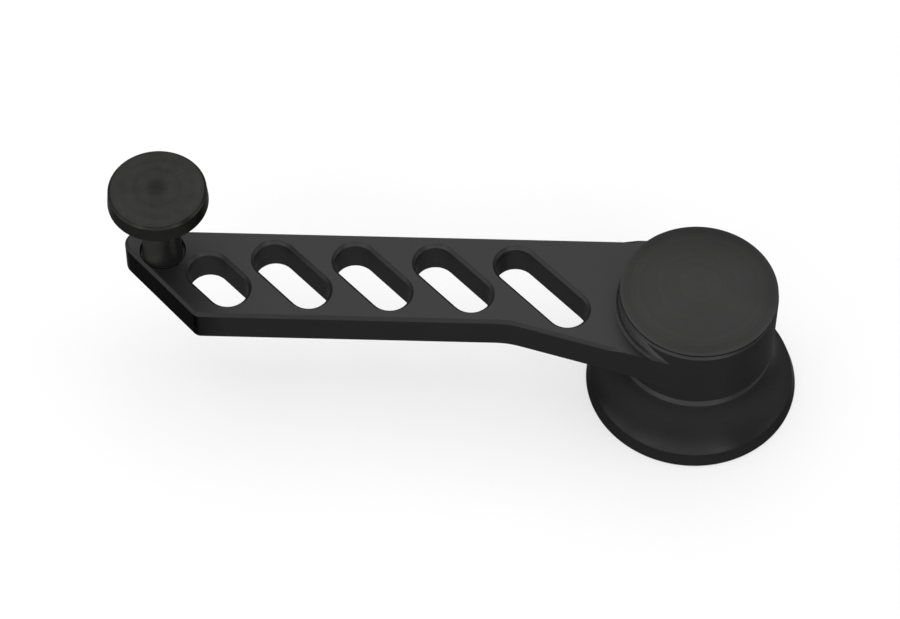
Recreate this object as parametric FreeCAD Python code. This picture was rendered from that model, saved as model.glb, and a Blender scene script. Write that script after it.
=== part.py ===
import FreeCAD, Part
import math
import os

# Window crank handle, in millimetres.
# Z is the hub's axis, and the origin is the mouth of the drive bore, on that axis.
# The arm and the knob lie towards -X. The escutcheon's rim meets the door panel below the origin.

os.makedirs("parts", exist_ok=True)

V = FreeCAD.Vector
UP = V(0, 0, 1)

# Hub drum
hub_radius = 16.15
hub_bottom = 14.7
hub_height = 15.5
hub_edge_chamfer = 0.78
hub_top = hub_bottom + hub_height

# Arm plate
arm_top = 26.1
arm_thickness = 7.6
arm_bottom = arm_top - arm_thickness
arm_far_inset = 0.65
arm_far_wall = hub_radius - arm_far_inset
arm_width = 21.15
arm_near_wall = arm_far_wall - arm_width
arm_edge_chamfer = 0.65
arm_edge_break = 0.2
chamfer_stop_reach = 3.45
chamfer_stop_radius = hub_radius + chamfer_stop_reach
chamfer_run_out = 1.9
chamfer_overrun = 1.15
bend_x = -38.3
bend_radius = 17.0
root_overlap = 0.02
top_cove_radius = 0.8
bottom_cove_radius = 2.8

# Tip of the arm, cut on a slant
knob_x = -109.2
knob_inset = 5.2
knob_y = arm_far_wall - knob_inset
tip_slant = math.radians(47.0)
tip_wall = 5.27
tip_far_radius = 3.2
tip_near_radius = 2.0

# Slots
slot_count = 5
slot_width = 8.4
slot_slant = math.radians(45.6)
slot_pitch = 16.45
slot_first_x = -28.4
slot_far_web = 2.6
slot_near_web = 2.65
slot_knob_web = 2.05

# Clearances
fixed_gap = 0.02
running_gap = 0.05
loose_gap = 0.3

# Hub cap and its ring
cap_inset = 0.15
cap_radius = hub_radius - cap_inset
cap_lift = 0.15
cap_rim_height = 0.42
cap_crown = 2.4
cap_bore_wall = 2.55
cap_bore_radius = hub_radius - cap_bore_wall
cap_bore_depth = 4.0
cap_skirt_wall = 3.0
cap_pocket_radius = cap_bore_radius - cap_skirt_wall
cap_roof = 1.8
ring_groove_depth = 1.5
ring_groove_width = 2.0
ring_groove_lift = 1.0
cap_seat = hub_top - cap_bore_depth

# Cavity under the cap, and the bore through the hub's floor
cavity_wall = 3.45
cavity_radius = hub_radius - cavity_wall
floor_thickness = 3.7
insert_seat = hub_bottom + floor_thickness

# Drive insert
insert_flange_thickness = 2.4
boss_radius = 6.5
pilot_radius = 5.2
pilot_depth = 4.0
spline_outer_radius = 5.0
spline_inner_radius = 4.55
spline_teeth = 24
spline_length = 11.5
boss_mouth = 0.0

# Insert screws
insert_screw_count = 3
insert_screw_circle = (boss_radius + cavity_radius) / 2
insert_screw_radius = 1.25
insert_screw_head_radius = 2.25
insert_screw_head_height = 1.5
insert_screw_length = 5.4
insert_screw_socket = 0.9

# Centre screw and its washers
drive_screw_radius = 2.5
drive_screw_length = 13.4
drive_screw_head_radius = 4.25
drive_screw_head_height = 2.7
drive_screw_socket = 1.6
drive_washer_radius = 5.0
drive_washer_thickness = 0.9
lock_washer_radius = 4.5
lock_washer_thickness = 1.2
lock_washer_slit = 0.8

# Spigot under the hub, that the escutcheon turns on
spigot_inset = 6.55
spigot_radius = hub_radius - spigot_inset
spigot_end = 4.4
snap_groove_depth = 0.6
snap_ring_thickness = 1.0
snap_ring_width = 1.8
snap_ring_opening = 3.6
snap_lug_radius = 1.5
snap_lug_hole = 0.6

# Escutcheon
panel_level = -1.0
rim_base_radius = 21.75
rim_top_radius = 20.9
rim_height = 3.0
rim_edge_chamfer = 0.3
collar_radius = hub_radius
collar_top = 12.8
collar_bevel = 1.3
collar_bevel_radius = collar_radius - collar_bevel
escutcheon_gap = 0.3
escutcheon_wall = 2.2
liner_wall = 1.2
liner_bottom = 7.2
bearing_boss_wall = 2.3
spring_recess_depth = 1.8
spring_recess_wall = 1.25
spring_recess_radius = collar_bevel_radius - spring_recess_wall
spring_thickness = 0.35
spring_waves = 3
retaining_washer_thickness = 0.8
retaining_washer_width = 3.25
retaining_washer_radius = spigot_radius + running_gap + retaining_washer_width

# Knob
knob_radius = 10.2
knob_rim_top_radius = 9.95
knob_rim_bottom = 42.95
knob_rim_height = 3.45
knob_edge_chamfer = 0.5
knob_crown = 0.8
knob_edge_break = 0.2
waist_radius = 3.95
waist_level = 29.9
waist_curve = 30.0
journal_radius = 3.0

# Knob bearing in the arm's tip
foot_recess_radius = 4.5
foot_recess_depth = 1.0
foot_recess_chamfer = 0.25
back_recess_radius = 4.3
back_recess_depth = 3.0
bushing_wall = 0.8
bushing_flange = 0.5
bushing_split = 0.2
thrust_washer_thickness = 0.3
wave_washer_height = 0.6
wave_washer_thickness = 0.25
wave_washer_waves = 3
retainer_thickness = 0.6
knob_screw_radius = 1.5
knob_screw_length = 9.0
knob_screw_head_radius = 2.75
knob_screw_head_height = 1.1
knob_screw_socket = 1.0


def cylinder(radius, bottom, top, x=0.0, y=0.0):
    return Part.makeCylinder(radius, top - bottom, V(x, y, bottom))


def washer(outer, inner, bottom, top, x=0.0, y=0.0):
    return cylinder(outer, bottom, top, x, y).cut(cylinder(inner, bottom, top, x, y))


def wire_of(steps, plane):
    """Closed wire through the steps: a corner is (a, b), and an arc is (middle corner, end corner)."""
    edges = []
    start = steps[0]
    here = start
    for step in list(steps[1:]) + [start]:
        if isinstance(step[0], tuple):
            middle, end = step
            edges.append(Part.Arc(plane(*here), plane(*middle), plane(*end)).toShape())
        else:
            end = step
            if math.dist(here, end) > 1e-7:
                edges.append(Part.LineSegment(plane(*here), plane(*end)).toShape())
        here = end
    return Part.Wire(edges)


def turned(steps, x=0.0, y=0.0):
    """Solid turned about the axis at x, y from a closed outline of (radius, height) corners."""
    face = Part.Face(wire_of(steps, lambda radius, height: V(x + radius, y, height)))
    return face.revolve(V(x, y, 0), UP, 360)


def extruded(steps, bottom, top):
    face = Part.Face(wire_of(steps, lambda a, b: V(a, b, bottom)))
    return face.extrude(UP * (top - bottom))


def arc_middle(start, end, centre, radius):
    """Point halfway along the shorter arc from start to end about the centre."""
    along = ((start[0] + end[0]) / 2 - centre[0], (start[1] + end[1]) / 2 - centre[1])
    length = math.hypot(*along)
    return (centre[0] + along[0] * radius / length, centre[1] + along[1] * radius / length)


def rounded(corners, radii):
    """Outline steps for a polygon whose corners are rounded by the given radii, 0 for a sharp one."""
    steps = []
    count = len(corners)
    for i, (corner, radius) in enumerate(zip(corners, radii)):
        if radius == 0:
            steps.append(corner)
            continue
        before = corners[i - 1]
        after = corners[(i + 1) % count]
        to_before = math.atan2(before[1] - corner[1], before[0] - corner[0])
        to_after = math.atan2(after[1] - corner[1], after[0] - corner[0])
        half = abs(math.remainder(to_after - to_before, 2 * math.pi)) / 2
        inward = to_before + math.remainder(to_after - to_before, 2 * math.pi) / 2
        reach = radius / math.tan(half)
        first = (corner[0] + reach * math.cos(to_before), corner[1] + reach * math.sin(to_before))
        last = (corner[0] + reach * math.cos(to_after), corner[1] + reach * math.sin(to_after))
        distance = radius / math.sin(half)
        centre = (corner[0] + distance * math.cos(inward), corner[1] + distance * math.sin(inward))
        steps.append(first)
        steps.append((arc_middle(first, last, centre, radius), last))
    return steps


def chamfered_at(solid, level, size):
    """The solid with every straight or round edge at one level chamfered."""
    edges = [e for e in solid.Edges if abs(e.BoundBox.ZMin - level) < 1e-6 and abs(e.BoundBox.ZMax - level) < 1e-6]
    return solid.makeChamfer(size, edges)


def wave_ring(outer, inner, bottom, height, thickness, waves, x=0.0, y=0.0):
    """Thin ring whose level swings evenly round the circle, with the given number of crests."""
    swing = (height - thickness) / 2
    points_per_wave = 8
    count = waves * points_per_wave

    def edge(radius, base):
        points = []
        for i in range(count):
            angle = 2 * math.pi * i / count
            level = base + swing + swing * math.sin(waves * angle)
            points.append(V(x + radius * math.cos(angle), y + radius * math.sin(angle), level))
        curve = Part.BSplineCurve()
        curve.interpolate(Points=points, PeriodicFlag=True)
        return curve.toShape()

    lower_inner = edge(inner, bottom)
    lower_outer = edge(outer, bottom)
    upper_inner = edge(inner, bottom + thickness)
    upper_outer = edge(outer, bottom + thickness)
    pairs = [(lower_inner, lower_outer), (upper_inner, upper_outer),
             (lower_inner, upper_inner), (lower_outer, upper_outer)]
    faces = [Part.makeRuledSurface(a, b) for a, b in pairs]
    shell = Part.makeShell(faces)
    shell.sewShape()
    solid = Part.makeSolid(shell)
    if solid.Volume < 0:
        solid.reverse()
    return solid


def along_slant(slant):
    return (math.cos(slant), -math.sin(slant))


def across_slant(slant):
    return (-math.sin(slant), -math.cos(slant))


slot_along = along_slant(slot_slant)
slot_across = across_slant(slot_slant)


def on_slant_line(through, slant, y):
    """Point at height y on the slanted line through a point."""
    along = along_slant(slant)
    steps = (y - through[1]) / along[1]
    return (through[0] + steps * along[0], y)


def tangent_foot():
    """Where the flared near wall runs into the hub, just inside the hub's surface."""
    radius = hub_radius - root_overlap
    angle = math.atan2(arm_near_wall, bend_x)
    angle += math.acos(radius / math.hypot(bend_x, arm_near_wall))
    return (radius * math.cos(angle), radius * math.sin(angle))


def arm_outline():
    across = across_slant(tip_slant)
    tip = (knob_x + across[0] * tip_wall, knob_y + across[1] * tip_wall)
    inside_hub = -math.sqrt(hub_radius ** 2 - arm_far_wall ** 2) * 0.6
    corners = [(inside_hub, arm_far_wall),
               on_slant_line(tip, tip_slant, arm_far_wall),
               on_slant_line(tip, tip_slant, arm_near_wall),
               (bend_x, arm_near_wall),
               tangent_foot()]
    return rounded(corners, [0, tip_far_radius, tip_near_radius, bend_radius, 0])


def slot_ends(index):
    """Centres of a slot's two round ends, counted from the hub."""
    through = (slot_first_x - index * slot_pitch, 0.0)
    half = slot_width / 2
    upper = on_slant_line(through, slot_slant, arm_far_wall - slot_far_web - half)
    lower = on_slant_line(through, slot_slant, arm_near_wall + slot_near_web + half)
    if index == 0:
        # The first slot runs on until its web to the flared wall is as thick as the others'.
        foot = tangent_foot()
        radius = math.hypot(*foot)
        normal = (foot[0] / radius, foot[1] / radius)
        reach = radius - slot_near_web - half
        start = through[0] * normal[0] + through[1] * normal[1]
        steps = (reach - start) / (slot_along[0] * normal[0] + slot_along[1] * normal[1])
        lower = (through[0] + steps * slot_along[0], through[1] + steps * slot_along[1])
    if index == slot_count - 1:
        # The last slot stops short of the knob's recess.
        away = foot_recess_radius + slot_knob_web + half
        offset = (through[0] - knob_x, through[1] - knob_y)
        along = offset[0] * slot_along[0] + offset[1] * slot_along[1]
        across = offset[0] * slot_across[0] + offset[1] * slot_across[1]
        steps = math.sqrt(max(away ** 2 - across ** 2, 0)) - along
        near_knob = (through[0] + steps * slot_along[0], through[1] + steps * slot_along[1])
        upper = min(upper, near_knob, key=lambda point: point[1])
    return upper, lower


def slot_cut(index):
    upper, lower = slot_ends(index)
    half = slot_width / 2
    side = (slot_across[0] * half, slot_across[1] * half)
    a = (upper[0] + side[0], upper[1] + side[1])
    b = (upper[0] - side[0], upper[1] - side[1])
    c = (lower[0] - side[0], lower[1] - side[1])
    d = (lower[0] + side[0], lower[1] + side[1])
    top = (upper[0] - slot_along[0] * half, upper[1] - slot_along[1] * half)
    end = (lower[0] + slot_along[0] * half, lower[1] + slot_along[1] * half)
    return extruded([a, (top, b), c, (end, d)], arm_bottom, arm_top)


def arm_plate():
    """Slotted plate with its edges chamfered, up to where the cutter stops near the hub."""
    slotted = extruded(arm_outline(), arm_bottom, arm_top)
    for index in range(slot_count):
        slotted = slotted.cut(slot_cut(index))
    plate = chamfered_at(slotted, arm_top, arm_edge_chamfer)
    plate = chamfered_at(plate, arm_bottom, arm_edge_break)
    # Near the hub the cutter rises out of the edge, so the chamfer runs out on a shallow cone.
    reach = chamfer_stop_radius + chamfer_run_out * chamfer_overrun
    low = arm_top - arm_edge_chamfer * chamfer_overrun
    unchamfered = turned([(0, arm_bottom), (reach, arm_bottom), (reach, low), (chamfer_stop_radius, arm_top),
                          (0, arm_top)])
    return plate.fuse(slotted.common(unchamfered))


def cove(level, radius, direction):
    """Ring that rounds the corner between the hub and the arm's face, on the arm's plan only."""
    inner = hub_radius - 0.5
    outer = hub_radius + radius
    sunk = level - direction * 0.5
    tall = level + direction * radius
    bulge = radius * (1 - math.sqrt(0.5))
    ring = turned([(inner, sunk), (outer, sunk), (outer, level),
                   ((hub_radius + bulge, level + direction * bulge), (hub_radius, tall)), (inner, tall)])
    plan = extruded(arm_outline(), min(sunk, tall), max(sunk, tall))
    return ring.common(plan)


def hub_blank():
    return turned([(0, hub_bottom), (hub_radius, hub_bottom), (hub_radius, hub_top - hub_edge_chamfer),
                   (hub_radius - hub_edge_chamfer, hub_top), (0, hub_top)])


def spigot():
    groove_top = liner_bottom - retaining_washer_thickness
    groove_bottom = groove_top - snap_ring_thickness
    groove = washer(spigot_radius + 1, spigot_radius - snap_groove_depth, groove_bottom, groove_top)
    return cylinder(spigot_radius, spigot_end, hub_bottom).cut(groove)


def screw_places():
    for index in range(insert_screw_count):
        angle = 2 * math.pi * index / insert_screw_count + math.pi / 2
        yield insert_screw_circle * math.cos(angle), insert_screw_circle * math.sin(angle)


def knob_bearing_cut():
    top_floor = arm_top - foot_recess_depth
    back_floor = arm_bottom + back_recess_depth
    through = cylinder(journal_radius + bushing_wall, back_floor, top_floor, knob_x, knob_y)
    edge = foot_recess_radius + foot_recess_chamfer
    front = turned([(0, top_floor), (foot_recess_radius, top_floor),
                    (foot_recess_radius, arm_top - foot_recess_chamfer), (edge, arm_top), (0, arm_top)],
                   knob_x, knob_y)
    back = cylinder(back_recess_radius, arm_bottom, back_floor, knob_x, knob_y)
    return through.fuse(front).fuse(back)


def make_arm():
    arm = arm_plate().fuse(hub_blank()).fuse(spigot())
    arm = arm.fuse(cove(arm_top, top_cove_radius, 1))
    arm = arm.fuse(cove(arm_bottom, bottom_cove_radius, -1))
    arm = arm.cut(cylinder(cap_bore_radius, cap_seat, hub_top))
    arm = arm.cut(cylinder(cavity_radius, insert_seat, cap_seat))
    arm = arm.cut(cylinder(boss_radius + fixed_gap, spigot_end, insert_seat))
    arm = arm.cut(knob_bearing_cut())
    for x, y in screw_places():
        tip = insert_seat + insert_flange_thickness - insert_screw_length
        arm = arm.cut(cylinder(insert_screw_radius + fixed_gap, tip, insert_seat, x, y))
    return arm.removeSplitter()


def make_hub_cap():
    under = hub_top + cap_lift
    rim = under + cap_rim_height
    spigot_wall = cap_bore_radius - running_gap
    groove_bottom = cap_seat + ring_groove_lift
    groove_top = groove_bottom + ring_groove_width
    groove_floor = cap_bore_radius - ring_groove_depth
    roof = rim - cap_roof
    sphere = (cap_radius ** 2 + cap_crown ** 2) / (2 * cap_crown)
    halfway = cap_radius / 2
    crown_halfway = rim + cap_crown - sphere + math.sqrt(sphere ** 2 - halfway ** 2)
    return turned([(0, roof), (cap_pocket_radius, roof), (cap_pocket_radius, cap_seat),
                   (spigot_wall, cap_seat), (spigot_wall, groove_bottom), (groove_floor, groove_bottom),
                   (groove_floor, groove_top), (spigot_wall, groove_top), (spigot_wall, under),
                   (cap_radius, under), (cap_radius, rim),
                   ((halfway, crown_halfway), (0, rim + cap_crown))])


def make_hub_cap_o_ring():
    groove_floor = cap_bore_radius - ring_groove_depth
    section = (ring_groove_depth - fixed_gap) / 2
    level = cap_seat + ring_groove_lift + ring_groove_width / 2
    return Part.makeTorus(groove_floor + section, section, V(0, 0, level), UP)


def spline_outline():
    """Teeth of the drive bore: each flank is straight, each crest and root a short chord."""
    corners = []
    step = 2 * math.pi / spline_teeth
    for tooth in range(spline_teeth):
        for share, radius in ((0.0, spline_outer_radius), (0.3, spline_outer_radius),
                              (0.5, spline_inner_radius), (0.8, spline_inner_radius)):
            angle = (tooth + share) * step
            corners.append((radius * math.cos(angle), radius * math.sin(angle)))
    return corners


def make_drive_insert():
    flange_top = insert_seat + insert_flange_thickness
    flange_radius = cavity_radius - loose_gap
    insert = cylinder(boss_radius, boss_mouth, insert_seat).fuse(cylinder(flange_radius, insert_seat, flange_top))
    spline_top = boss_mouth + pilot_depth + spline_length
    insert = insert.cut(cylinder(pilot_radius, boss_mouth, boss_mouth + pilot_depth))
    insert = insert.cut(extruded(spline_outline(), boss_mouth + pilot_depth, spline_top))
    insert = insert.cut(cylinder(drive_screw_radius + loose_gap, spline_top, flange_top))
    for x, y in screw_places():
        insert = insert.cut(cylinder(insert_screw_radius + fixed_gap, insert_seat, flange_top, x, y))
    return insert.removeSplitter()


def hexagon_cut(across, bottom, top, x=0.0, y=0.0):
    radius = across / math.sqrt(3)
    corners = [(x + radius * math.cos(math.pi * i / 3), y + radius * math.sin(math.pi * i / 3)) for i in range(6)]
    return extruded(corners, bottom, top)


def socket_screw(radius, length, head_radius, head_height, socket_depth, x, y, seat, direction):
    """Screw with a low round head on the seat and its shank going down (-1) or up (+1)."""
    head_end = seat - direction * head_height
    tip = seat + direction * length
    shank = cylinder(radius, min(seat, tip), max(seat, tip), x, y)
    edge = head_radius * 0.12
    head = turned([(0, seat), (head_radius, seat), (head_radius, head_end + direction * edge),
                   (head_radius - edge, head_end), (0, head_end)], x, y)
    socket_end = head_end + direction * socket_depth
    socket = hexagon_cut(head_radius * 0.9, min(head_end, socket_end), max(head_end, socket_end), x, y)
    return shank.fuse(head).cut(socket)


def make_insert_screws():
    seat = insert_seat + insert_flange_thickness
    screws = [socket_screw(insert_screw_radius, insert_screw_length, insert_screw_head_radius,
                           insert_screw_head_height, insert_screw_socket, x, y, seat, -1)
              for x, y in screw_places()]
    return Part.makeCompound(screws)


def drive_stack():
    """Levels of the flat washer, the split washer and the screw head's seat."""
    flat = insert_seat + insert_flange_thickness
    split = flat + drive_washer_thickness
    return flat, split, split + lock_washer_thickness


def make_drive_flat_washer():
    flat, split, seat = drive_stack()
    return washer(drive_washer_radius, drive_screw_radius + fixed_gap, flat, split)


def make_drive_lock_washer():
    flat, split, seat = drive_stack()
    ring = washer(lock_washer_radius, drive_screw_radius + fixed_gap, split, seat)
    slit = Part.makeBox(lock_washer_radius * 2, lock_washer_slit, lock_washer_thickness * 3,
                        V(0, -lock_washer_slit / 2, split - lock_washer_thickness))
    slit.rotate(V(0, 0, (split + seat) / 2), V(1, 0, 0), 30)
    return ring.cut(slit)


def make_drive_screw():
    flat, split, seat = drive_stack()
    return socket_screw(drive_screw_radius, drive_screw_length, drive_screw_head_radius,
                        drive_screw_head_height, drive_screw_socket, 0, 0, seat, -1)


def escutcheon_levels():
    """Top of the bevelled collar, and floor of the spring's recess."""
    top = hub_bottom - escutcheon_gap
    return top, top - spring_recess_depth


def flare_curve():
    """Radius and centre of the concave flare, upright at the collar."""
    rim_top = panel_level + rim_height
    drop = collar_top - rim_top
    spread = rim_top_radius - collar_radius
    radius = (spread ** 2 + drop ** 2) / (2 * spread)
    return radius, (collar_radius + radius, collar_top)


def make_escutcheon():
    top, recess_floor = escutcheon_levels()
    bore = spigot_radius + running_gap + liner_wall
    rim_top = panel_level + rim_height
    radius, centre = flare_curve()
    flare_middle = arc_middle((collar_radius, collar_top), (rim_top_radius, rim_top), centre, radius)
    boss = bore + bearing_boss_wall
    ceiling = collar_top - escutcheon_wall
    inner_radius = radius + escutcheon_wall
    skirt_top = (boss + 0.4, ceiling)
    skirt_level = rim_top - escutcheon_wall / 2
    skirt_foot = (centre[0] - math.sqrt(inner_radius ** 2 - (centre[1] - skirt_level) ** 2), skirt_level)
    wall_start_level = ceiling - 1.0
    wall_start = (centre[0] - math.sqrt(inner_radius ** 2 - (centre[1] - wall_start_level) ** 2), wall_start_level)
    skirt_middle = arc_middle(wall_start, skirt_foot, centre, inner_radius)
    base_inner = rim_base_radius - escutcheon_wall
    steps = [(bore, liner_bottom), (bore, recess_floor), (spring_recess_radius, recess_floor),
             (spring_recess_radius, top), (collar_bevel_radius, top), (collar_radius, collar_top),
             (flare_middle, (rim_top_radius, rim_top)),
             (rim_base_radius, panel_level + rim_edge_chamfer),
             (rim_base_radius - rim_edge_chamfer, panel_level),
             (base_inner, panel_level), (base_inner, skirt_level), skirt_foot,
             (skirt_middle, wall_start), (boss, wall_start_level), (boss, liner_bottom)]
    return turned(steps)


def make_escutcheon_liner():
    top, recess_floor = escutcheon_levels()
    inner = spigot_radius + running_gap
    return washer(inner + liner_wall - fixed_gap, inner, liner_bottom, recess_floor)


def make_escutcheon_wave_spring():
    top, recess_floor = escutcheon_levels()
    inner = spigot_radius + running_gap + liner_wall
    height = hub_bottom - recess_floor - 2 * fixed_gap
    return wave_ring(spring_recess_radius - loose_gap, inner, recess_floor + fixed_gap, height,
                     spring_thickness, spring_waves)


def make_escutcheon_retaining_washer():
    bottom = liner_bottom - retaining_washer_thickness
    return washer(retaining_washer_radius, spigot_radius + running_gap, bottom, liner_bottom)


def make_escutcheon_retaining_ring():
    top = liner_bottom - retaining_washer_thickness
    bottom = top - snap_ring_thickness
    inner = spigot_radius - snap_groove_depth + fixed_gap
    middle = inner + snap_ring_width / 2
    ring = washer(inner + snap_ring_width, inner, bottom, top)
    opening = Part.makeBox(inner + snap_ring_width * 2, snap_ring_opening, snap_ring_thickness,
                           V(0, -snap_ring_opening / 2, bottom))
    ring = ring.cut(opening)
    swing = (snap_ring_opening / 2 + snap_lug_radius) / middle
    for side in (-1, 1):
        x = (middle + snap_lug_radius * 0.5) * math.cos(side * swing)
        y = (middle + snap_lug_radius * 0.5) * math.sin(side * swing)
        lug = cylinder(snap_lug_radius, bottom, top, x, y).cut(cylinder(inner, bottom, top))
        ring = ring.fuse(lug).cut(cylinder(snap_lug_hole, bottom, top, x, y))
    return ring.removeSplitter()


def knob_levels():
    """Underside of the knob's foot and end of its journal."""
    foot = arm_top - foot_recess_depth + bushing_flange + thrust_washer_thickness
    journal_end = arm_bottom + back_recess_depth - bushing_flange - wave_washer_height
    return foot, journal_end


def make_knob():
    foot, journal_end = knob_levels()
    rim_top = knob_rim_bottom + knob_rim_height
    face_radius = knob_rim_top_radius - knob_edge_chamfer
    face = rim_top + knob_edge_chamfer
    sphere = (face_radius ** 2 + knob_crown ** 2) / (2 * knob_crown)
    halfway = face_radius / 2
    crown_halfway = face + knob_crown - sphere + math.sqrt(sphere ** 2 - halfway ** 2)

    def stem(level):
        return waist_radius + waist_curve - math.sqrt(waist_curve ** 2 - (level - waist_level) ** 2)

    underside = knob_rim_bottom
    knob = turned([(0, journal_end), (journal_radius, journal_end), (journal_radius, foot), (stem(foot), foot),
                   ((waist_radius, waist_level), (stem(underside), underside)),
                   (knob_radius - knob_edge_break, underside), (knob_radius, underside + knob_edge_break),
                   (knob_rim_top_radius, rim_top), (face_radius, face),
                   ((halfway, crown_halfway), (0, face + knob_crown))], knob_x, knob_y)
    thread = cylinder(knob_screw_radius + fixed_gap, journal_end, journal_end + knob_screw_length, knob_x, knob_y)
    return knob.cut(thread)


def flanged_bushing(face, direction):
    """Bushing whose flange lies on the recess floor and whose sleeve goes into the bore."""
    length = (arm_thickness - foot_recess_depth - back_recess_depth - bushing_split) / 2
    inner = journal_radius + running_gap
    outer = journal_radius + bushing_wall - fixed_gap
    flange = back_recess_radius - loose_gap / 2
    outside = face - direction * bushing_flange
    sleeve_end = face + direction * length
    sleeve = washer(outer, inner, min(face, sleeve_end), max(face, sleeve_end), knob_x, knob_y)
    plate = washer(flange, inner, min(face, outside), max(face, outside), knob_x, knob_y)
    return sleeve.fuse(plate).removeSplitter()


def make_knob_bushing_upper():
    return flanged_bushing(arm_top - foot_recess_depth, -1)


def make_knob_bushing_lower():
    return flanged_bushing(arm_bottom + back_recess_depth, 1)


def make_knob_thrust_washer():
    foot, journal_end = knob_levels()
    return washer(back_recess_radius - loose_gap / 2, journal_radius + running_gap,
                  foot - thrust_washer_thickness, foot, knob_x, knob_y)


def make_knob_wave_washer():
    foot, journal_end = knob_levels()
    return wave_ring(back_recess_radius - loose_gap, journal_radius + running_gap, journal_end + fixed_gap,
                     wave_washer_height - 2 * fixed_gap, wave_washer_thickness, wave_washer_waves,
                     knob_x, knob_y)


def make_knob_retaining_washer():
    foot, journal_end = knob_levels()
    return washer(back_recess_radius - loose_gap, knob_screw_radius + fixed_gap,
                  journal_end - retainer_thickness, journal_end, knob_x, knob_y)


def make_knob_screw():
    foot, journal_end = knob_levels()
    return socket_screw(knob_screw_radius, knob_screw_length, knob_screw_head_radius, knob_screw_head_height,
                        knob_screw_socket, knob_x, knob_y, journal_end - retainer_thickness, 1)


pieces = {
    "arm": make_arm,
    "hub_cap": make_hub_cap,
    "hub_cap_o_ring": make_hub_cap_o_ring,
    "drive_insert": make_drive_insert,
    "insert_screws": make_insert_screws,
    "drive_screw": make_drive_screw,
    "drive_lock_washer": make_drive_lock_washer,
    "drive_flat_washer": make_drive_flat_washer,
    "escutcheon": make_escutcheon,
    "escutcheon_liner": make_escutcheon_liner,
    "escutcheon_wave_spring": make_escutcheon_wave_spring,
    "escutcheon_retaining_washer": make_escutcheon_retaining_washer,
    "escutcheon_retaining_ring": make_escutcheon_retaining_ring,
    "knob": make_knob,
    "knob_bushing_upper": make_knob_bushing_upper,
    "knob_bushing_lower": make_knob_bushing_lower,
    "knob_thrust_washer": make_knob_thrust_washer,
    "knob_wave_washer": make_knob_wave_washer,
    "knob_retaining_washer": make_knob_retaining_washer,
    "knob_screw": make_knob_screw,
}

for name, make in pieces.items():
    shape = make()
    shape.exportStep("parts/" + name + ".step")
    print(name, "solids", len(shape.Solids), "valid", shape.isValid(), "volume", round(shape.Volume, 1))
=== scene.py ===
import bpy
import math
from mathutils import Matrix, Vector

# Black anodised window crank in a plain studio.
# Lengths are in metres in the part's own frame, but the radii of tones are in millimetres.
# A fade is a (start, end) pair of places that a tone changes between.

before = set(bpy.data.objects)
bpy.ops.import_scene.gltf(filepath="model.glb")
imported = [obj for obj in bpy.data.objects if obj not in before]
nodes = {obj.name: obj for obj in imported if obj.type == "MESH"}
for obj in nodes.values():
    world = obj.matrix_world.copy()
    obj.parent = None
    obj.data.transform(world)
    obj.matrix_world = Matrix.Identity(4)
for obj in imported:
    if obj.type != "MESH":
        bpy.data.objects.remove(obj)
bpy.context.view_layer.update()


# Camera, from the fit to the photo
CAMERA_PLACE = Vector((-0.04341, -0.44621, 0.65952))
CAMERA_AZIMUTH = math.radians(-0.874)
CAMERA_ELEVATION = math.radians(55.005)
CAMERA_ROLL = math.radians(0.636)
SENSOR_WIDTH = 36.0
LENS = 152.96
CLIP_START = 0.01

# Floor, at the level of the door panel, and the world
PANEL_LEVEL = -0.001
FLOOR_DROP = 0.00005
FLOOR_SIZE = 8.0
FLOOR_GREY = (0.70, 0.70, 0.70)
FLOOR_WHITE_SHARE = 0.6
PLAIN_WHITE = 1.0
WORLD_COLOUR = (1.0, 1.0, 1.0, 1.0)
WORLD_STRENGTH = 0.25

# Softboxes: name, azimuth and elevation in degrees as seen from the part, distance, width, height, radiance
LIT_MIDDLE = Vector((-0.05, 0.0, 0.02))
SOFTBOXES = [
    ("sky", 90.0, 66.0, 0.95, 1.45, 1.50, 2.1),
    ("front", 268.0, 33.0, 1.00, 1.20, 0.36, 2.2),
    ("front_left", 225.0, 37.0, 1.00, 0.26, 0.36, 3.6),
    ("front_right", 308.0, 39.0, 1.00, 0.26, 0.36, 3.6),
    ("left", 182.0, 35.0, 1.00, 0.90, 0.50, 1.9),
    ("right", 5.0, 36.0, 1.00, 0.60, 0.40, 2.4),
]

# Directions, and the axes of the turned pieces
FAR = (0.0, 1.0, 0.0)
UP = (0.0, 0.0, 1.0)
HUB_AXIS = Vector((0.0, 0.0, 0.0))
KNOB_AXIS = Vector((-0.1092, 0.0103, 0.0))

# Black anodised film: the dark and the light end of its clouds on each piece
ARM_FILM = ((0.0250, 0.0250, 0.0252), (0.0310, 0.0310, 0.0312))
CAP_FILM = ((0.0229, 0.0227, 0.0225), (0.0283, 0.0280, 0.0277))
FLARE_FILM = ((0.0240, 0.0240, 0.0245), (0.0290, 0.0290, 0.0295))
KNOB_FILM = ((0.0180, 0.0177, 0.0174), (0.0240, 0.0236, 0.0232))
FILM_METALLIC = 0.75
FILM_GRAZING = (0.45, 0.45, 0.45)
CLOUD_SIZE = 0.012
CLOUD_DETAIL = 3.0
GRAIN_SIZE = 0.00018
GRAIN_DEPTH = 0.00002
CLOUD_PART = 0.6
GRAIN_PART = 0.4
GLOSS_SWING = 0.04

# Noise lies mostly between these values
NOISE_LOW = 0.3
NOISE_HIGH = 0.7
RING_LOW = 0.25
RING_HIGH = 0.75

# A face counts as a wall below the first tilt, and as looking up above the second
WALL_TILT = 0.10
FACE_TILT = 0.60

# Grooves run around the axis, so their highlight is turned by a quarter
GROOVE_TURN = 0.25

# Arm: milled faces, and walls darkened with painted shade
ARM_ROUGHNESS = 0.40
ARM_WALL_PAINTED_SHADE = 0.78
MILLING_SIZE = 0.0011
MILLING_STRETCH = 0.05
MILLING_STRENGTH = 0.30
MILLING_DEPTH = 0.00004
MILLED_GRAIN_STRENGTH = 0.15
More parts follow.
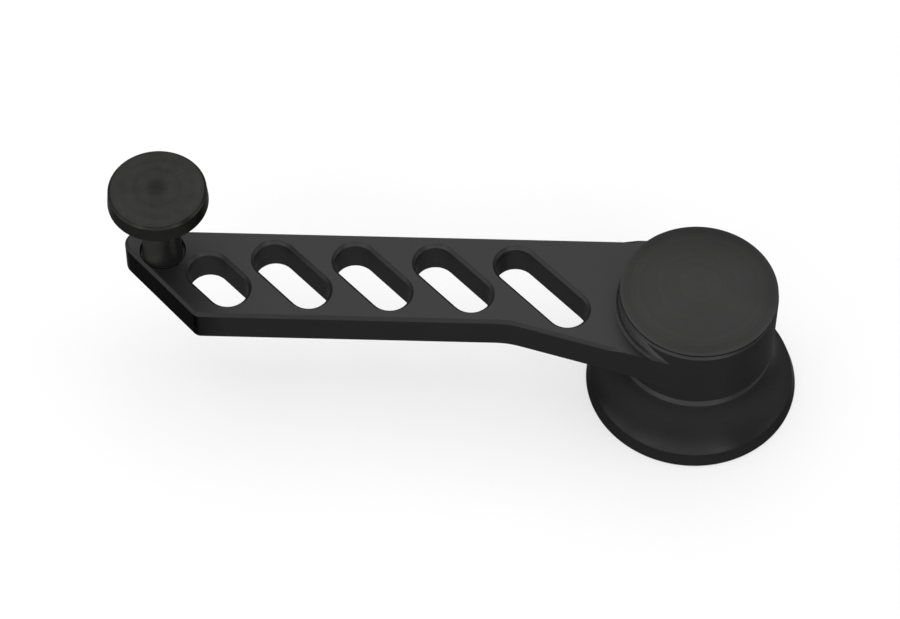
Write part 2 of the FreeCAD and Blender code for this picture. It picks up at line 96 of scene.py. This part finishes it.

# The slots lie between the arm's two long walls, and their bevels end just below its top
# Painted light: the slots' walls are lighter than the arm's other walls
SLOT_PAINTED_LIGHT = 1.05
# Painted highlight on the slots' bevels
SLOT_BEVEL_PAINTED_HIGHLIGHT = 1.3
SLOT_NEAR = (-0.0049, -0.0046)
SLOT_FAR = (0.0148, 0.0152)
SLOT_BEVEL_TOP = (0.02590, 0.02605)

# Outside the slots the walls carry painted shade, darker towards the tip, by their distance from the hub's
# axis
END_PAINTED_SHADE = 0.42
END_FADE = (0.0960, 0.1010)

# The tip's slanted wall is darkest. It is told by its distance across the slant, and by the cosine
# of the angle between the way it faces and that direction
# Painted shade: the tip's slanted wall is darkened far below the film's own colour
TIP_PAINTED_SHADE = 0.10
TIP_SLANT = math.radians(47.0)
TIP_ACROSS = (-math.sin(TIP_SLANT), -math.cos(TIP_SLANT), 0.0)
TIP_FADE = (0.0745, 0.0770)
TIP_FACING = (0.72, 0.97)

# The hub's wall is turned, out to just past its radius
HUB_ANISOTROPIC = 0.95
HUB_EDGE = (0.0164, 0.0170)

# Painted reflection of the arm's top: a bright stretch of the hub's wall above the arm, which ends at a
# slanted line of x + 1.5 z
STRETCH_PAINTED_REFLECTION = 2.7
STRETCH_BOTTOM = (0.0261, 0.0264)
STRETCH_SLANT = (1.0, 0.0, 1.5)
STRETCH_END = (0.0330, 0.0338)

# Painted highlight on the bevel at the hub's top edge
HUB_BEVEL_PAINTED_HIGHLIGHT = 1.30
BEVEL_BOTTOM = (0.0293, 0.0295)

# Turning marks: pitch, how far they change the tone, and their depth
FINE_PITCH = 0.00045
FINE_SWING = 0.07
FINE_STRENGTH = 0.20
FINE_DEPTH = 0.00003
BROAD_PITCH = 0.0022
BROAD_SWING = 0.05
RING_DETAIL = 3.0
SMEAR_SIZE = 0.0018
SMEAR_DETAIL = 4.0
SMEAR_ROUGHNESS = 0.65
TURNED_GRAIN_STRENGTH = 0.10

# Tones of the turned pieces' faces and walls, as (radius in millimetres, factor) points
MILLIMETRES = 1000.0
TONE_REACH = 24.0
TONE_TOP = 3.0
CAP_TONES = [(0.0, 1.12), (0.6, 1.03), (6.0, 1.0), (11.6, 1.0), (11.9, 0.92), (12.2, 1.0), (13.8, 1.0),
             (14.1, 0.94), (15.4, 0.97), (15.8, 1.10), (24.0, 1.0)]
# Painted shade: the cap's rim wall is darkened, as a dark line under its lip
CAP_WALL_PAINTED_SHADE = [(0.0, 0.5), (24.0, 0.5)]
# Painted highlight on the escutcheon's bevel ring, from 14.7 to 16.04 mm
FLARE_PAINTED_HIGHLIGHT = [(0.0, 1.0), (14.5, 1.0), (14.7, 1.75), (16.04, 1.75), (16.12, 1.0), (24.0, 1.0)]
# Painted shade on the escutcheon's walls, deepest on its rim beyond 20.8 mm
FLARE_WALL_PAINTED_SHADE = [(0.0, 0.9), (20.4, 0.9), (20.8, 0.52), (24.0, 0.52)]
# The knob's face is darker towards the centre, and has a painted highlight beside a dark line at its rim
KNOB_TONES_AND_PAINTED_HIGHLIGHT = [(0.0, 0.62), (1.5, 0.72), (2.6, 0.98), (4.6, 0.92), (5.4, 1.04), (7.0, 1.0), (8.6, 1.05),
              (9.3, 1.0), (9.5, 0.80), (9.7, 1.30), (9.9, 1.2), (10.0, 1.0), (24.0, 1.0)]
# Painted light on the knob's stem, and painted shade on the wall of its rim
KNOB_WALL_PAINTED_LIGHT_AND_SHADE = [(0.0, 1.6), (5.0, 1.6), (8.0, 0.75), (24.0, 0.75)]

# Bare metal and moulded pieces
STEEL = (0.55, 0.55, 0.56)
ZINC = (0.60, 0.61, 0.64)
SPRING_STEEL = (0.30, 0.31, 0.33)
OILED_BRONZE = (0.30, 0.21, 0.12)
BLACK_PLASTIC = (0.045, 0.045, 0.045)
BLACK_RUBBER = (0.02, 0.02, 0.02)
METAL_SHADE = 0.8
METAL_DETAIL = 3.0
METAL_STRENGTH = 0.15
MOULDED_SHADE = 0.88
MOULDED_DETAIL = 2.0
MOULDED_STRENGTH = 0.1
PLAIN_SWING = 0.05
PLAIN_DEPTH = 0.00003


def add_camera():
    forward = Vector((math.sin(CAMERA_AZIMUTH) * math.cos(CAMERA_ELEVATION),
                      math.cos(CAMERA_AZIMUTH) * math.cos(CAMERA_ELEVATION),
                      -math.sin(CAMERA_ELEVATION)))
    level_right = forward.cross(Vector(UP)).normalized()
    level_up = level_right.cross(forward)
    right = level_right * math.cos(CAMERA_ROLL) + level_up * math.sin(CAMERA_ROLL)
    up = level_up * math.cos(CAMERA_ROLL) - level_right * math.sin(CAMERA_ROLL)
    turn = Matrix((right, up, -forward)).transposed().to_4x4()
    data = bpy.data.cameras.new("camera")
    data.sensor_fit = "HORIZONTAL"
    data.sensor_width = SENSOR_WIDTH
    data.lens = LENS
    data.clip_start = CLIP_START
    camera = bpy.data.objects.new("camera", data)
    camera.matrix_world = Matrix.Translation(CAMERA_PLACE) @ turn
    bpy.context.scene.collection.objects.link(camera)
    bpy.context.scene.camera = camera


def add_softbox(name, azimuth, elevation, distance, width, height, radiance):
    """Area light whose face shows the given radiance, aimed at the part."""
    turn = math.radians(azimuth)
    rise = math.radians(elevation)
    towards = Vector((math.cos(turn) * math.cos(rise), math.sin(turn) * math.cos(rise), math.sin(rise)))
    data = bpy.data.lights.new(name, "AREA")
    data.shape = "RECTANGLE"
    data.size = width
    data.size_y = height
    data.energy = radiance * math.pi * width * height
    lamp = bpy.data.objects.new(name, data)
    lamp.location = LIT_MIDDLE + towards * distance
    lamp.rotation_euler = (-towards).to_track_quat("-Z", "Y").to_euler()
    lamp.visible_camera = False
    bpy.context.scene.collection.objects.link(lamp)


def add_lights():
    for softbox in SOFTBOXES:
        add_softbox(*softbox)


def add_world():
    world = bpy.data.worlds.new("studio")
    world.use_nodes = True
    background = world.node_tree.nodes["Background"]
    background.inputs["Color"].default_value = WORLD_COLOUR
    background.inputs["Strength"].default_value = WORLD_STRENGTH
    bpy.context.scene.world = world


class Shader:
    """Small helper for building one material's nodes."""

    def __init__(self, name):
        self.material = bpy.data.materials.new(name)
        self.material.use_nodes = True
        self.tree = self.material.node_tree
        self.surface = self.tree.nodes["Principled BSDF"]

    def add(self, kind, **values):
        node = self.tree.nodes.new(kind)
        for key, value in values.items():
            setattr(node, key, value)
        return node

    def link(self, output, target):
        self.tree.links.new(output, target)

    def plug(self, output, socket):
        """Links an output to one of the surface's sockets."""
        self.link(output, self.surface.inputs[socket])

    def set(self, **values):
        """Sets the surface's own sockets, named with _ for each space."""
        for key, value in values.items():
            socket = self.surface.inputs[key.replace("_", " ")]
            if isinstance(value, tuple):
                socket.default_value = (*value, 1.0)
            else:
                socket.default_value = value

    def feed(self, value, socket):
        """Sets a number, or links an output."""
        if isinstance(value, (int, float)):
            socket.default_value = value
        else:
            self.link(value, socket)

    def math(self, operation, first, second):
        node = self.add("ShaderNodeMath", operation=operation)
        self.feed(first, node.inputs[0])
        self.feed(second, node.inputs[1])
        return node.outputs[0]

    def spread(self, value, low, high, first=0.0, last=1.0):
        """Maps value from first..last to low..high, where low and high are numbers or outputs."""
        node = self.add("ShaderNodeMapRange")
        node.inputs["From Min"].default_value = first
        node.inputs["From Max"].default_value = last
        self.feed(low, node.inputs["To Min"])
        self.feed(high, node.inputs["To Max"])
        self.link(value, node.inputs["Value"])
        return node.outputs["Result"]

    def fade_in(self, value, fade):
        """0 before the fade, 1 past it."""
        return self.spread(value, 0.0, 1.0, *fade)

    def fade_out(self, value, fade):
        """1 before the fade, 0 past it."""
        return self.spread(value, 1.0, 0.0, *fade)

    def place(self):
        """Object coordinates, which are the part's own frame."""
        return self.add("ShaderNodeTexCoord").outputs["Object"]

    def facing(self):
        """The surface's direction in the part's own frame."""
        return self.add("ShaderNodeTexCoord").outputs["Normal"]

    def stretched(self, place, x, y, z):
        node = self.add("ShaderNodeVectorMath", operation="MULTIPLY")
        self.link(place, node.inputs[0])
        node.inputs[1].default_value = (x, y, z)
        return node.outputs["Vector"]

    def along(self, place, direction):
        """How far a place or a surface's direction reaches along a direction, times its length."""
        node = self.add("ShaderNodeVectorMath", operation="DOT_PRODUCT")
        self.link(place, node.inputs[0])
        node.inputs[1].default_value = direction
        return node.outputs["Value"]

    def radius_about(self, place, axis):
        """Distance from a vertical axis."""
        moved = self.add("ShaderNodeVectorMath", operation="SUBTRACT")
        self.link(place, moved.inputs[0])
        moved.inputs[1].default_value = axis
        flat = self.stretched(moved.outputs["Vector"], 1.0, 1.0, 0.0)
        length = self.add("ShaderNodeVectorMath", operation="LENGTH")
        self.link(flat, length.inputs[0])
        return length.outputs["Value"]

    def noise(self, place, size, detail=2.0, roughness=0.5):
        """Noise with grains of about the given size."""
        node = self.add("ShaderNodeTexNoise")
        node.inputs["Scale"].default_value = 1.0 / size
        node.inputs["Detail"].default_value = detail
        node.inputs["Roughness"].default_value = roughness
        self.link(place, node.inputs["Vector"])
        return node.outputs["Fac"]

    def rings(self, radius, pitch):
        """Noise that varies with the radius only, as turning marks do."""
        spot = self.add("ShaderNodeCombineXYZ")
        self.link(radius, spot.inputs["X"])
        return self.noise(spot.outputs["Vector"], pitch, RING_DETAIL)

    def bump(self, height, strength, depth, under=None):
        node = self.add("ShaderNodeBump")
        node.inputs["Strength"].default_value = strength
        node.inputs["Distance"].default_value = depth
        self.link(height, node.inputs["Height"])
        if under is not None:
            self.link(under, node.inputs["Normal"])
        return node.outputs["Normal"]

    def mix_colour(self, factor, first, second):
        node = self.add("ShaderNodeMix", data_type="RGBA")
        self.link(factor, node.inputs["Factor"])
        node.inputs["A"].default_value = (*first, 1.0)
        node.inputs["B"].default_value = (*second, 1.0)
        return node.outputs["Result"]

    def scaled(self, colour, factor):
        node = self.add("ShaderNodeVectorMath", operation="SCALE")
        self.link(colour, node.inputs[0])
        self.link(factor, node.inputs["Scale"])
        return node.outputs["Vector"]

    def by_tilt(self, wall, face):
        """The first value on upright walls, the second on faces that look up."""
        return self.spread(self.along(self.facing(), UP), wall, face, WALL_TILT, FACE_TILT)

    def tone_by_radius(self, radius, tones):
        """Brightness factor that runs straight through (radius in millimetres, factor) points."""
        node = self.add("ShaderNodeValToRGB")
        stops = node.color_ramp.elements
        while len(stops) < len(tones):
            stops.new(1.0)
        for stop, (at, factor) in zip(stops, tones):
            level = factor / TONE_TOP
            stop.position = at / TONE_REACH
            stop.color = (level, level, level, 1.0)
        self.link(self.math("MULTIPLY", radius, MILLIMETRES / TONE_REACH), node.inputs["Fac"])
        return self.math("MULTIPLY", node.outputs["Color"], TONE_TOP)

    def turn_grooves(self):
        """Makes anisotropic highlights spread across grooves that run around the axis."""
        tangent = self.add("ShaderNodeTangent", direction_type="RADIAL", axis="Z")
        self.plug(tangent.outputs["Tangent"], "Tangent")
        self.set(Anisotropic_Rotation=GROOVE_TURN)


def anodised(name, film_ends, roughness):
    """Black anodised aluminium: a cloudy black film with a fine satin grain."""
    shader = Shader(name)
    place = shader.place()
    clouds = shader.noise(place, CLOUD_SIZE, CLOUD_DETAIL)
    grain = shader.noise(place, GRAIN_SIZE)
    film = shader.mix_colour(clouds, *film_ends)
    shader.set(Metallic=FILM_METALLIC, Specular_Tint=FILM_GRAZING, Specular_IOR_Level=0.0)
    blend = shader.math("ADD", shader.math("MULTIPLY", clouds, CLOUD_PART),
                        shader.math("MULTIPLY", grain, GRAIN_PART))
    gloss = shader.spread(blend, roughness - GLOSS_SWING, roughness + GLOSS_SWING, NOISE_LOW, NOISE_HIGH)
    shader.plug(gloss, "Roughness")
    return shader, place, grain, film


def slot_mask(shader, place, radius):
    """1 between the arm's two long walls and outside the hub."""
    depth = shader.along(place, FAR)
    between = shader.math("MULTIPLY", shader.fade_in(depth, SLOT_NEAR), shader.fade_out(depth, SLOT_FAR))
    return shader.math("MULTIPLY", between, shader.fade_in(radius, HUB_EDGE))


def tip_mask(shader, place):
    """1 on the tip's slanted wall."""
    near_tip = shader.fade_in(shader.along(place, TIP_ACROSS), TIP_FADE)
    slanted = shader.fade_in(shader.along(shader.facing(), TIP_ACROSS), TIP_FACING)
    return shader.math("MULTIPLY", near_tip, slanted)


def stretch_mask(shader, place, height):
    """1 on the hub's wall above the arm, up to the slanted line."""
    above_arm = shader.fade_in(height, STRETCH_BOTTOM)
    over_arm = shader.fade_out(shader.along(place, STRETCH_SLANT), STRETCH_END)
    return shader.math("MULTIPLY", above_arm, over_arm)


def arm_painted_light_and_shade(shader, place, radius):
    """Painted light and shade on the arm: a brightness factor of its walls and faces."""
    height = shader.along(place, UP)
    in_slots = slot_mask(shader, place, radius)
    wall = shader.spread(radius, ARM_WALL_PAINTED_SHADE, END_PAINTED_SHADE, *END_FADE)
    wall = shader.spread(in_slots, wall, SLOT_PAINTED_LIGHT)
    wall = shader.spread(tip_mask(shader, place), wall, TIP_PAINTED_SHADE)
    wall = shader.spread(stretch_mask(shader, place, height), wall, STRETCH_PAINTED_REFLECTION)
    slot_bevel = shader.math("MULTIPLY", in_slots, shader.fade_out(height, SLOT_BEVEL_TOP))
    face = shader.spread(slot_bevel, 1.0, SLOT_BEVEL_PAINTED_HIGHLIGHT)
    face = shader.spread(height, face, HUB_BEVEL_PAINTED_HIGHLIGHT, *BEVEL_BOTTOM)
    return shader.by_tilt(wall, face)


def arm_material():
    """Milled faces, and a hub whose wall is turned, so that it spreads light up and down."""
    shader, place, grain, film = anodised("anodised_milled", ARM_FILM, ARM_ROUGHNESS)
    radius = shader.radius_about(place, HUB_AXIS)
    shader.plug(shader.scaled(film, arm_painted_light_and_shade(shader, place, radius)), "Base Color")
    milling = shader.noise(shader.stretched(place, 1.0, 1.0, MILLING_STRETCH), MILLING_SIZE)
    under = shader.bump(milling, MILLING_STRENGTH, MILLING_DEPTH)
    shader.plug(shader.bump(grain, MILLED_GRAIN_STRENGTH, GRAIN_DEPTH, under), "Normal")
    turned = shader.fade_out(radius, HUB_EDGE)
    shader.plug(shader.math("MULTIPLY", turned, shader.by_tilt(HUB_ANISOTROPIC, 0.0)), "Anisotropic")
    shader.turn_grooves()
    return shader.material


def turned_material(name, axis, film_ends, roughness, anisotropic, tones, painted_wall_tones, smear_swing):
    """Anodised piece with turning marks about an axis, and its tone at each radius, which holds painted
    highlights on some faces and painted light and shade on the walls.
    """
    shader, place, grain, film = anodised(name, film_ends, roughness)
    radius = shader.radius_about(place, axis)
    fine = shader.rings(radius, FINE_PITCH)
    broad = shader.rings(radius, BROAD_PITCH)
    smears = shader.noise(place, SMEAR_SIZE, SMEAR_DETAIL, SMEAR_ROUGHNESS)
    marks = shader.math("ADD", shader.spread(fine, -FINE_SWING, FINE_SWING, RING_LOW, RING_HIGH),
                        shader.spread(broad, -BROAD_SWING, BROAD_SWING, RING_LOW, RING_HIGH))
    marks = shader.math("ADD", marks, shader.spread(smears, -smear_swing, smear_swing, NOISE_LOW, NOISE_HIGH))
    level = shader.by_tilt(shader.tone_by_radius(radius, painted_wall_tones), shader.tone_by_radius(radius, tones))
    tone = shader.math("MULTIPLY", shader.math("ADD", marks, 1.0), level)
    shader.plug(shader.scaled(film, tone), "Base Color")
    under = shader.bump(fine, FINE_STRENGTH, FINE_DEPTH)
    shader.plug(shader.bump(grain, TURNED_GRAIN_STRENGTH, GRAIN_DEPTH, under), "Normal")
    shader.turn_grooves()
    shader.set(Anisotropic=anisotropic)
    return shader.material


def cap_material():
    return turned_material("anodised_cap", HUB_AXIS, CAP_FILM, roughness=0.36, anisotropic=0.7,
                           tones=CAP_TONES, painted_wall_tones=CAP_WALL_PAINTED_SHADE, smear_swing=0.02)


def flare_material():
    return turned_material("anodised_flare", HUB_AXIS, FLARE_FILM, roughness=0.36, anisotropic=0.5,
                           tones=FLARE_PAINTED_HIGHLIGHT, painted_wall_tones=FLARE_WALL_PAINTED_SHADE, smear_swing=0.02)


def knob_material():
    return turned_material("anodised_knob", KNOB_AXIS, KNOB_FILM, roughness=0.34, anisotropic=0.8,
                           tones=KNOB_TONES_AND_PAINTED_HIGHLIGHT, painted_wall_tones=KNOB_WALL_PAINTED_LIGHT_AND_SHADE, smear_swing=0.10)


def grained(name, colour, shade, roughness, grain_size, detail, strength):
    """Plain surface whose tone, gloss and height follow one grain."""
    shader = Shader(name)
    grain = shader.noise(shader.place(), grain_size, detail)
    darker = tuple(value * shade for value in colour)
    shader.plug(shader.mix_colour(grain, darker, colour), "Base Color")
    shader.plug(shader.spread(grain, roughness - PLAIN_SWING, roughness + PLAIN_SWING), "Roughness")
    shader.plug(shader.bump(grain, strength, PLAIN_DEPTH), "Normal")
    return shader


def metal(name, colour, roughness, grain_size):
    shader = grained(name, colour, METAL_SHADE, roughness, grain_size, METAL_DETAIL, METAL_STRENGTH)
    shader.set(Metallic=1.0)
    return shader.material


def moulded(name, colour, roughness, grain_size):
    shader = grained(name, colour, MOULDED_SHADE, roughness, grain_size, MOULDED_DETAIL, MOULDED_STRENGTH)
    return shader.material


def dress(material, *names):
    for name in names:
        slots = nodes[name].data.materials
        slots.clear()
        slots.append(material)


def dress_anodised():
    dress(arm_material(), "arm")
    dress(cap_material(), "hub_cap")
    dress(flare_material(), "escutcheon")
    dress(knob_material(), "knob")


def dress_metal():
    dress(metal("turned_steel", STEEL, roughness=0.35, grain_size=0.0006),
          "drive_insert", "escutcheon_retaining_washer")
    dress(metal("zinc_steel", ZINC, roughness=0.32, grain_size=0.0009),
          "insert_screws", "drive_screw", "drive_lock_washer", "drive_flat_washer",
          "knob_retaining_washer", "knob_screw")
    dress(metal("spring_steel", SPRING_STEEL, roughness=0.30, grain_size=0.0007),
          "escutcheon_wave_spring", "escutcheon_retaining_ring", "knob_wave_washer")
    dress(metal("sintered_bronze", OILED_BRONZE, roughness=0.45, grain_size=0.0002),
          "knob_bushing_upper", "knob_bushing_lower")


def dress_moulded():
    dress(moulded("bearing_plastic", BLACK_PLASTIC, roughness=0.45, grain_size=0.0005),
          "escutcheon_liner", "knob_thrust_washer")
    dress(moulded("seal_rubber", BLACK_RUBBER, roughness=0.6, grain_size=0.0003), "hub_cap_o_ring")


def floor_material():
    """Matt paper that the camera, metal and glass see partly as plain white, with the shadow kept."""
    shader = Shader("floor_paper")
    shader.set(Base_Color=FLOOR_GREY, Roughness=1.0, Specular_IOR_Level=0.0)
    path = shader.add("ShaderNodeLightPath")
    seen = shader.math("MAXIMUM", path.outputs["Is Glossy Ray"], path.outputs["Is Transmission Ray"])
    seen = shader.math("MAXIMUM", seen, path.outputs["Is Camera Ray"])
    white = shader.add("ShaderNodeEmission")
    white.inputs["Strength"].default_value = PLAIN_WHITE
    both = shader.add("ShaderNodeMixShader")
    shader.link(shader.math("MULTIPLY", seen, FLOOR_WHITE_SHARE), both.inputs["Fac"])
    shader.link(shader.surface.outputs["BSDF"], both.inputs[1])
    shader.link(white.outputs["Emission"], both.inputs[2])
    shader.link(both.outputs["Shader"], shader.tree.nodes["Material Output"].inputs["Surface"])
    return shader.material


def add_floor():
    half = FLOOR_SIZE / 2
    level = PANEL_LEVEL - FLOOR_DROP
    corners = [(-half, -half, level), (half, -half, level), (half, half, level), (-half, half, level)]
    mesh = bpy.data.meshes.new("floor")
    mesh.from_pydata(corners, [], [(0, 1, 2, 3)])
    floor = bpy.data.objects.new("floor", mesh)
    bpy.context.scene.collection.objects.link(floor)
    mesh.materials.append(floor_material())


add_camera()
add_world()
add_lights()
add_floor()
dress_anodised()
dress_metal()
dress_moulded()
bpy.context.scene.view_settings.view_transform = "Standard"
